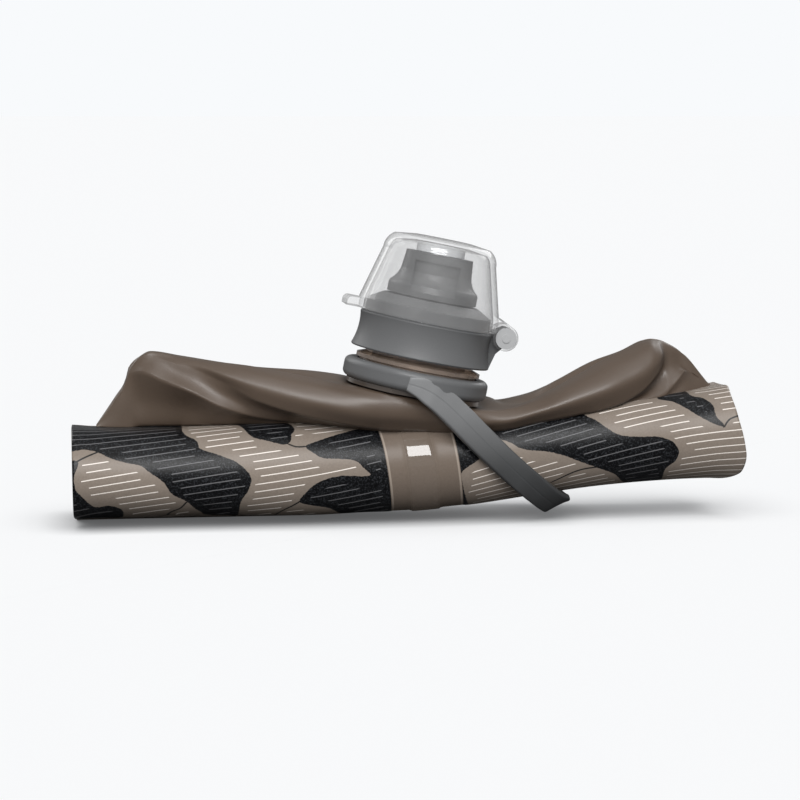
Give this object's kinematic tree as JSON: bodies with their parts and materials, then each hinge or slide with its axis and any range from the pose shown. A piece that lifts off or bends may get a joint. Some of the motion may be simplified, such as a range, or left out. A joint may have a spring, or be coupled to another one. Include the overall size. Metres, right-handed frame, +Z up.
{
  "type": "folding water bottle",
  "caption": "Soft water bottle rolled into a slim bundle, held by its bail strap, with a screw cap, twist spout and hinged clear dust cover.",
  "frame": {"origin": "bottom centre of the bounding box, on the surface that the bottle lies on", "axes": "+X along the roll, -Y the side it was rolled to, +Z up"},
  "size_m": [0.1554, 0.0336, 0.0656],
  "materials": {
    "film": "satin brown welded film with a printed camouflage of black and tan shapes and fine hatching",
    "clear_brown": "glossy smoke-brown see-through moulding",
    "bail_grey": "satin blue-grey elastomer",
    "strap_grey": "satin grey elastomer",
    "cap_grey": "fine satin moulded plastic",
    "spout_grey": "soft-touch satin",
    "seal": "milky silicone",
    "clear_cover": "clear polished plastic",
    "plug_white": "milky translucent silicone",
    "pin_nylon": "natural nylon"
  },
  "bodies": {
    "bottle": {"front_panel": "film", "back_panel": "film", "bottom_gusset": "film", "shoulder_pouch": "film", "neck_fitment": "clear_brown", "bail_ring": "bail_grey", "bail_strap": "strap_grey"},
    "thread_carrier": {"cap_gasket": "seal"},
    "cap": {"cap_shell": "cap_grey", "valve_post": "cap_grey", "port_seal": "seal", "spout_oring": "seal", "spout_clip": "pin_nylon", "hinge_pin": "pin_nylon"},
    "spout": {"spout": "spout_grey"},
    "cover": {"dust_cover": "clear_cover", "cover_plug": "plug_white"}
  },
  "joints": [
    {"name": "cap_lift", "type": "slide", "parent": "bottle", "child": "thread_carrier", "axis": [0.1994, 0, 0.9799], "range_m": [0, 0.0056]},
    {"name": "cap_twist", "type": "hinge", "parent": "thread_carrier", "child": "cap", "pos_m": [0.00349, 0, 0.0418], "axis": [0.1994, 0, 0.9799], "range_deg": [0, 630]},
    {"name": "spout_twist", "type": "hinge", "parent": "cap", "child": "spout", "pos_m": [0.00589, 0, 0.05356], "axis": [0.1994, 0, 0.9799], "range_deg": [0, 90]},
    {"name": "cover_hinge", "type": "hinge", "parent": "cap", "child": "cover", "pos_m": [0.02184, 0, 0.04118], "axis": [0, 1, 0], "range_deg": [0, 115]}
  ],
  "couplings": [
    {"joint": "cap_lift", "follows": "cap_twist", "m_per_rad": 0.0005093}
  ]
}
